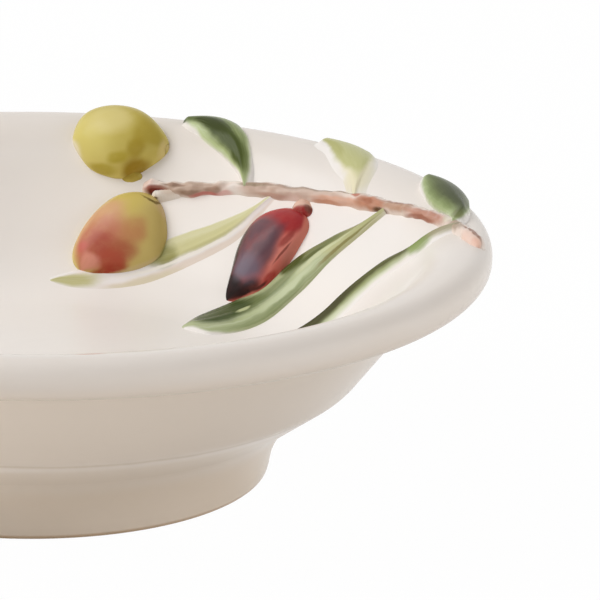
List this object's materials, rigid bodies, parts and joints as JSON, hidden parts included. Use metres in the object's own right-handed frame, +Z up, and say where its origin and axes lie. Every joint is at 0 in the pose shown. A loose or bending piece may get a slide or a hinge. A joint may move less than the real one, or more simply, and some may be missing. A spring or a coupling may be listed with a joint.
{
  "type": "olive dish",
  "caption": "Round glazed bowl with a flared wall, a rolled lip and a tall foot ring, and an olive sprig in raised relief round its inner wall; serves olives and small snacks at table.",
  "frame": {"origin": "centre of the foot ring, on the plane of the table", "axes": "+Z up along the bowl's axis; bearings run from +X towards +Y, and the sprig lies on the side between +X and +Y"},
  "size_m": [0.17, 0.17, 0.0498],
  "materials": {
    "cream_glaze": "clear cream glaze, gloss",
    "foot_glaze": "clear cream glaze, gloss",
    "bark_glaze": "thin brown wash under gloss glaze",
    "green_olive_glaze": "hand painted under gloss glaze",
    "blush_olive_glaze": "hand painted under gloss glaze",
    "dark_olive_glaze": "hand painted under gloss glaze",
    "dark_leaf_glaze": "hand painted under gloss glaze",
    "pale_leaf_glaze": "hand painted under gloss glaze"
  },
  "bodies": {
    "root": {"dish_body": "cream_glaze", "foot_ring": "foot_glaze", "main_twig": "bark_glaze", "green_olive_stalk": "bark_glaze", "blush_olive_stalk": "bark_glaze", "dark_olive_stalk": "dark_olive_glaze", "green_olive": "green_olive_glaze", "blush_olive": "blush_olive_glaze", "dark_olive": "dark_olive_glaze", "back_dark_leaf": "dark_leaf_glaze", "back_pale_leaf": "pale_leaf_glaze", "rim_tip_leaf": "dark_leaf_glaze", "long_pale_leaf": "pale_leaf_glaze", "under_olive_leaf": "dark_leaf_glaze", "front_leaf": "dark_leaf_glaze"}
  },
  "joints": []
}
